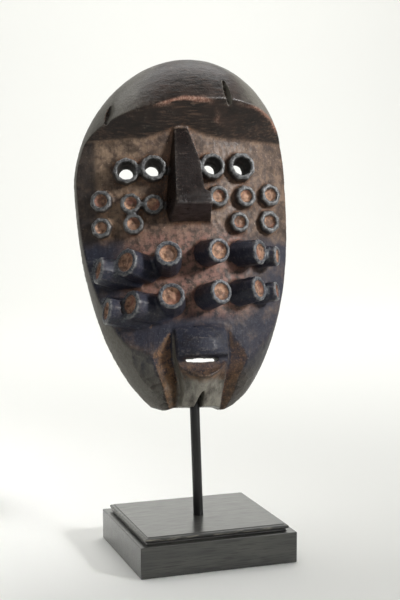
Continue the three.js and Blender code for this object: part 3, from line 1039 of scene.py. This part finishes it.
def node(kind, sockets=(), **settings):
    """Adds a node to the tree in hand, sets it, and fills or links its sockets by number or name."""
    made = tree.nodes.new("ShaderNode" + kind)
    for name, value in settings.items():
        setattr(made, name, value)
    for key, value in dict(sockets).items():
        socket = next(s for place, s in enumerate(made.inputs) if key in (place, s.identifier, s.name))
        if isinstance(value, bpy.types.NodeSocket):
            tree.links.new(value, socket)
        else:
            socket.default_value = linear(value) if isinstance(value, str) else value
    return next(s for s in made.outputs if s.enabled)


print("black stain is", [round(x, 4) for x in linear("#1c1a18")[:3]])

# %% [markdown]
# ## The mask's finish: wood
#
# Carved hardwood, blackened and oiled, then handled for years. The eye sees a deep brown black with
# a soft polish on whatever stands out, reddish brown in the recesses, raw tan wood in the cups, and
# a grey sheen on the smooth sides, which is partly painted into their colour. The patterns come first:
# fine grain runs up the mask, and the knife's short strokes run across the forehead. They read the
# mask's own frame, and so follow the leaning wood.

# %% Oiled hardwood, hand carved: patterns
tree, wood_finish = new_finish(wood, "oiled_hardwood_hand_carved")
mesh_place = node("TexCoord").node.outputs["Object"]
lean = {"Vector": mesh_place, "Location": MASK_FOOT, "Rotation": (-TILT_BACK, 0, TURN)}
mask_place = node("Mapping", lean, vector_type="TEXTURE")
up_the_mask = node("Mapping", {"Vector": mask_place, "Scale": (1, 1, 0.05)})
along_it = node("Mapping", {"Vector": mask_place, "Scale": (1, 1, 0.3)})
across_it = node("Mapping", {"Vector": mask_place, "Scale": (0.14, 1, 1)})

# frame, size in mm, detail and roughness of each; pores are 0.2 mm wide, drawn at 0.9 mm to show at all
PATTERNS = [
    (up_the_mask, 0.9, 2, 0.5), (along_it, 8, 4, 0.6), (across_it, 1.7, 3, 0.6),
    (mask_place, 16, 5, 0.62), (mask_place, 5, 4, 0.65), (mask_place, 1.5, 2, 0.6),
]
pores, figure, strokes, mottle, patches, dust = (
    node("TexNoise", {"Vector": where, "Scale": 1000 / size, "Detail": detail, "Roughness": rough})
    for where, size, detail, rough in PATTERNS
)
shares = {"all": 1.0}
for name, kept in KEPT.items():
    colours = node("VertexColor", layer_name=name)
    shares.update(zip(kept, node("SeparateColor", {"Color": colours}).node.outputs))
print(len(PATTERNS), "patterns, shares", sorted(shares))

# %% [markdown]
# ## The mask's finish: colours in layers
#
# As a stain and its wear build up, each layer here lies over those before it: on one share of
# the surface, in the pattern's values from a low to a high one, and so much of it at the most.

# %% Oiled hardwood, hand carved: colours
DARKEST_PATINA = "#17120f"
edge_wear_and_highlight = shares["edge_wear_and_highlight"] = node("Math", {0: shares["edge"], 1: patches}, operation="MULTIPLY")
LAYERS = [
    # patina all over, dust and painted sheen where the dome turns away
    ("#2a1f19", "all", mottle, 0.38, 0.66, 1),
    ("#46342a", "all", strokes, 0.52, 0.75, 0.5),
    ("#6f685f", "dust_and_sheen", strokes, 0.35, 0.6, 0.75),
    # browner slope and face, ochre dust in the recesses
    ("#4f3d32", "slope", strokes, 0.5, 0.68, 0.7),
    ("#54443a", "face", figure, 0, 0.1, 1),
    ("#7a6452", "face", patches, 0.42, 0.58, 0.85),
    # painted fill light: the face paler towards the left
    ("#97816b", "left", patches, 0.3, 0.55, 0.6),
    ("#2c211b", "face", mottle, 0.46, 0.62, 0.75),
    ("#6d4a33", "recess", patches, 0.42, 0.6, 0.8),
    ("#94603e", "recess", dust, 0.52, 0.66, 0.7),
    ("#b7a791", "face", dust, 0.66, 0.74, 0.5),
    # black tubes, blue black round them, redder wood beside it
    ("#353230", "tube", figure, 0, 0.1, 0.9),
    # painted shade on the left edge of the face
    ("#1d1b1d", "shade", patches, 0.2, 0.5, 0.85),
    ("#232634", "blue_black_tint", mottle, 0.15, 0.5, 0.9),
    ("#464a54", "blue_black_tint", dust, 0.55, 0.68, 0.4),
    ("#8f675c", "ember", patches, 0.4, 0.6, 0.75),
    ("#75593f", "fold", patches, 0.32, 0.6, 0.8),
    ("#a0704a", "fold", dust, 0.54, 0.68, 0.5),
    ("#48424c", "tube", patches, 0.5, 0.66, 0.4),
    # rims and sides grey, partly rubbed polish and partly painted sheen and highlights
    ("#5e6162", "rim", dust, 0.32, 0.6, 0.75),
    ("#969899", "rim", edge_wear_and_highlight, 0.15, 0.6, 0.5),
    ("#66635b", "grey_sides_and_sheen", figure, 0, 0.1, 0.9),
    ("#928e84", "grey_sides_and_sheen", pores, 0.5, 0.7, 0.5),
    ("#8b877c", "chin", figure, 0.3, 0.6, 0.9),
    # the nose painted blackest, partly painted shade, its underside with painted light from below, the brow's
    # crest worn bare
    ("#140d0b", "nose", figure, 0, 0.1, 0.85),
    ("#4c3a34", "nose", dust, 0.58, 0.7, 0.35),
    ("#4a4242", "painted_underside_light", patches, 0.3, 0.6, 0.8),
    ("#8a6151", "strip", patches, 0.2, 0.5, 0.85),
    ("#bfa08c", "strip", pores, 0.48, 0.64, 0.75),
    # near black in the crevices, and pale edges, partly rubbed wear and partly painted highlights
    ("#0d0a09", "crevice", patches, 0.3, 0.6, 0.85),
    ("#857b71", "edge_wear_and_highlight", dust, 0.4, 0.62, 0.6),
    # tan wood in the cups, brown in the hollow, near-black bores
    ("#6b5345", "cup", patches, 0, 0.1, 1),
    ("#b28d73", "cup", patches, 0.42, 0.58, 0.9),
    ("#84524a", "cup", mottle, 0.5, 0.6, 0.5),
    ("#2b1d15", "hollow", figure, 0, 0.1, 1),
    ("#513a29", "hollow", figure, 0.42, 0.65, 0.8),
    ("#17100c", "bore", figure, 0, 0.1, 0.9),
    ("#0b0807", "all", pores, 0.56, 0.76, 0.35),
]
colour = DARKEST_PATINA
for layer, share, follows, low, high, most in LAYERS:
    reach = node("MapRange", {"Value": follows, "From Min": low, "From Max": high, "To Max": most})
    part = node("Math", {0: shares[share], 1: reach}, operation="MULTIPLY")
    colour = node("Mix", {"Factor_Float": part, "A_Color": colour, "B_Color": layer}, data_type="RGBA")
tree.links.new(colour, wood_finish["Base Color"])
print(len(LAYERS), "layers of colour")

# %% [markdown]
# ## The mask's finish: polish and relief
#
# Hands polish what stands out, so tubes, nose and forehead shine. The face between the tubes is
# duller, and the raw wood of cups and hollow is matt. Layers of the same shares set the roughness.
# The relief is what is too fine for the mesh: pores, knife strokes and grains of dust.

# %% Oiled hardwood, hand carved: polish and relief
POLISHED = 0.33
DULLING = dict(face=0.62, blue_black_tint=0.62, tube=0.38, grey_sides_and_sheen=0.45, nose=0.3, cup=0.8, hollow=0.75, bore=0.85)
rough = POLISHED
for share, dull in DULLING.items():
    rough = node("Mix", {"Factor_Float": shares[share], "A_Float": rough, "B_Float": dull})
uneven = node("MapRange", {"Value": mottle, "From Min": 0.3, "From Max": 0.7, "To Min": -0.06, "To Max": 0.1})
rough = node("Math", {0: rough, 1: uneven}, operation="ADD")
tree.links.new(rough, wood_finish["Roughness"])
for setting, value in {"IOR": 1.38, "Coat Weight": 0.04, "Coat Roughness": 0.22}.items():
    wood_finish[setting].default_value = value

relief = 0.0
for follows, strength in ((pores, 0.5), (strokes, 0.6), (dust, 0.5)):
    relief = node("Math", {0: follows, 1: strength, 2: relief}, operation="MULTIPLY_ADD")
bump = node("Bump", {"Height": relief, "Strength": 0.8, "Distance": 0.4 * MM})
tree.links.new(bump, wood_finish["Normal"])
print("the mask's finish has", len(tree.nodes), "nodes")

# %% [markdown]
# ## The stand's finishes
#
# The base is beech, planed and moulded, stained black and given a satin lacquer: the light finds
# fine lines of grain along it, and a grey sheen where the pale room is mirrored at a low angle. The rod is
# steel under a sprayed satin paint, a smoother and blacker surface with an even, soft highlight.

# %% Stained beech, satin lacquered
tree, base_finish = new_finish(base, "black_stained_beech_satin_lacquered")
where = node("TexCoord").node.outputs["Object"]
fine_grain = node("Mapping", {"Vector": where, "Scale": (0.05, 1, 1)})
wide_grain = node("Mapping", {"Vector": where, "Scale": (0.12, 1, 1)})
# lines of pores 0.8 mm apart, figure 6 mm and specks of wear and painted glints 1.2 mm wide
BASE_PORE, BASE_FIGURE, SPECK = 0.8, 6, 1.2
pores = node("TexNoise", {"Vector": fine_grain, "Scale": 1000 / BASE_PORE, "Detail": 3})
figure = node("TexNoise", {"Vector": wide_grain, "Scale": 1000 / BASE_FIGURE, "Detail": 4, "Distortion": 0.6})
stain = node("MapRange", {"Value": figure, "From Min": 0.35, "From Max": 0.65})
colour = node("Mix", {"Factor_Float": stain, "A_Color": "#2f2f2c", "B_Color": "#45453f"}, data_type="RGBA")
open_pores = node("MapRange", {"Value": pores, "From Min": 0.48, "From Max": 0.68, "To Max": 0.85})
colour = node("Mix", {"Factor_Float": open_pores, "A_Color": colour, "B_Color": "#141312"}, data_type="RGBA")
# the lacquer is rubbed through in specks along the moulding's nose, partly painted glints
NOSE_MIDDLE = (BLOCK_HEIGHT + 3.6) * MM
NOSE_HALF_HEIGHT = 1.1 * MM
height = node("SeparateXYZ", {"Vector": where}).node.outputs["Z"]
on_the_nose = node("Math", {0: height, 1: NOSE_MIDDLE, 2: NOSE_HALF_HEIGHT}, operation="COMPARE")
specks = node("TexNoise", {"Vector": wide_grain, "Scale": 1000 / SPECK, "Detail": 2})
wear_and_glint_specks = node("MapRange", {"Value": specks, "From Min": 0.5, "From Max": 0.66, "To Max": 0.8})
wear_and_glint_specks = node("Math", {0: on_the_nose, 1: wear_and_glint_specks}, operation="MULTIPLY")
colour = node("Mix", {"Factor_Float": wear_and_glint_specks, "A_Color": colour, "B_Color": "#8a8578"}, data_type="RGBA")
tree.links.new(colour, base_finish["Base Color"])
rough = node("MapRange", {"Value": pores, "From Min": 0.35, "From Max": 0.7, "To Min": 0.3, "To Max": 0.44})
tree.links.new(rough, base_finish["Roughness"])
for setting, value in {"Coat Weight": 0.9, "Coat Roughness": 0.2}.items():
    base_finish[setting].default_value = value
relief = node("Math", {0: pores, 1: 0.6, 2: figure}, operation="MULTIPLY_ADD")
bump = node("Bump", {"Height": relief, "Strength": 0.5, "Distance": 0.2 * MM})
tree.links.new(bump, base_finish["Normal"])
print("the base's finish has", len(tree.nodes), "nodes")

# %% Steel, sprayed satin black
tree, rod_finish = new_finish(rod, "steel_sprayed_satin_black")
where = node("TexCoord").node.outputs["Object"]
down_the_rod = node("Mapping", {"Vector": where, "Scale": (1, 1, 0.05)})
SPRAY_GRAIN, DRAWN_LINE = 0.6, 1.5
spray = node("TexNoise", {"Vector": where, "Scale": 1000 / SPRAY_GRAIN, "Detail": 2})
drawn = node("TexNoise", {"Vector": down_the_rod, "Scale": 1000 / DRAWN_LINE, "Detail": 2})
lines = node("MapRange", {"Value": drawn, "From Min": 0.4, "From Max": 0.65})
colour = node("Mix", {"Factor_Float": lines, "A_Color": "#141413", "B_Color": "#20201e"}, data_type="RGBA")
tree.links.new(colour, rod_finish["Base Color"])
rough = node("MapRange", {"Value": spray, "From Min": 0.3, "From Max": 0.7, "To Min": 0.3, "To Max": 0.42})
tree.links.new(rough, rod_finish["Roughness"])
relief = node("Math", {0: drawn, 1: 0.8, 2: spray}, operation="MULTIPLY_ADD")
bump = node("Bump", {"Height": relief, "Strength": 0.3, "Distance": 0.1 * MM})
tree.links.new(bump, rod_finish["Normal"])
print("the rod's finish has", len(tree.nodes), "nodes")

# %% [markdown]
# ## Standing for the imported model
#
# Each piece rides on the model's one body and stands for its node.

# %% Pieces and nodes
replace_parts(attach(wood, "root"), "mask")
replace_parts(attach(rod, "root"), "rod")
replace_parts(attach(base, "root"), "base")
print("pieces:", wood.name, rod.name, base.name)

# %% [markdown]
# ## Studio
#
# The photograph has a pale sweep of paper under and behind the mask, and white all round that shows in
# the polish. A large soft light hangs overhead, another brightens the paper behind, and a small gridded
# key from the right throws the nose's shadow but leaves the base alone. The sweep is a bent grid.

# %% Sweep of paper
deselect()
bpy.ops.mesh.primitive_grid_add(x_subdivisions=2, y_subdivisions=60, size=2)
sweep = added("paper_sweep")
SWEEP_FRONT, SWEEP_BACK, SWEEP_BEND, SWEEP_TOP, SWEEP_HALF = -2.5, 1.6, 0.9, 3.0, 3
x, y, _ = points_of(sweep).T
run = (y + 1) / 2 * (SWEEP_BACK - SWEEP_FRONT + SWEEP_BEND * math.pi / 2 + SWEEP_TOP)
flat = SWEEP_BACK - SWEEP_FRONT
turn = np.clip((run - flat) / SWEEP_BEND, 0, math.pi / 2)
rise = np.maximum(0, run - flat - SWEEP_BEND * math.pi / 2)
depth = SWEEP_FRONT + np.minimum(run, flat) + SWEEP_BEND * np.sin(turn)
move_points(sweep, np.stack([x * SWEEP_HALF, depth, SWEEP_BEND * (1 - np.cos(turn)) + rise], axis=-1))
bpy.ops.object.shade_smooth()
tree, paper = new_finish(sweep, "matt_white_paper")
paper["Base Color"].default_value = linear("#f0f0eb")
paper["Roughness"].default_value = 0.9
print("sweep rises to", round(float(points_of(sweep)[:, 2].max()), 1), "m")


# %% Lights
def soft_light(name, place, aim, width, height, watts):
    """An area light, its place and size in metres, turned towards its aim."""
    lamp = bpy.data.lights.new(name, "AREA")
    lamp.shape = "RECTANGLE"
    lamp.size, lamp.size_y, lamp.energy = width, height, watts
    holder = bpy.data.objects.new(name, lamp)
    bpy.context.scene.collection.objects.link(holder)
    holder.location = place
    holder.rotation_euler = (Vector(place) - Vector(aim)).to_track_quat("Z", "Y").to_euler()
    return lamp


# the key's place is 45 degrees to the right of the mask and 26 degrees above its middle
key_place, key_aim = (1.01688, -1.01688, 1.02139), (0, 0, 0.32)
key = soft_light("gridded_key_softbox", key_place, key_aim, width=0.4, height=0.4, watts=0.8)
key.spread = math.radians(20)
soft_light("overhead_softbox", (0.05, 0.6, 1.8), (0.05, 0.36, 0), width=2.2, height=1.2, watts=23)
soft_light("backdrop_light", (1, 0.9, 1.9), (1.1, 2.4, 0.9), width=2.0, height=0.8, watts=29)
world = bpy.data.worlds.new("white_room")
world.use_nodes = True
world.node_tree.nodes["Background"].inputs["Color"].default_value = linear("#f2f3f5")
world.node_tree.nodes["Background"].inputs["Strength"].default_value = 0.29
bpy.context.scene.world = world
bpy.context.scene.view_settings.view_transform = "Standard"
print("3 soft lights and a white room")
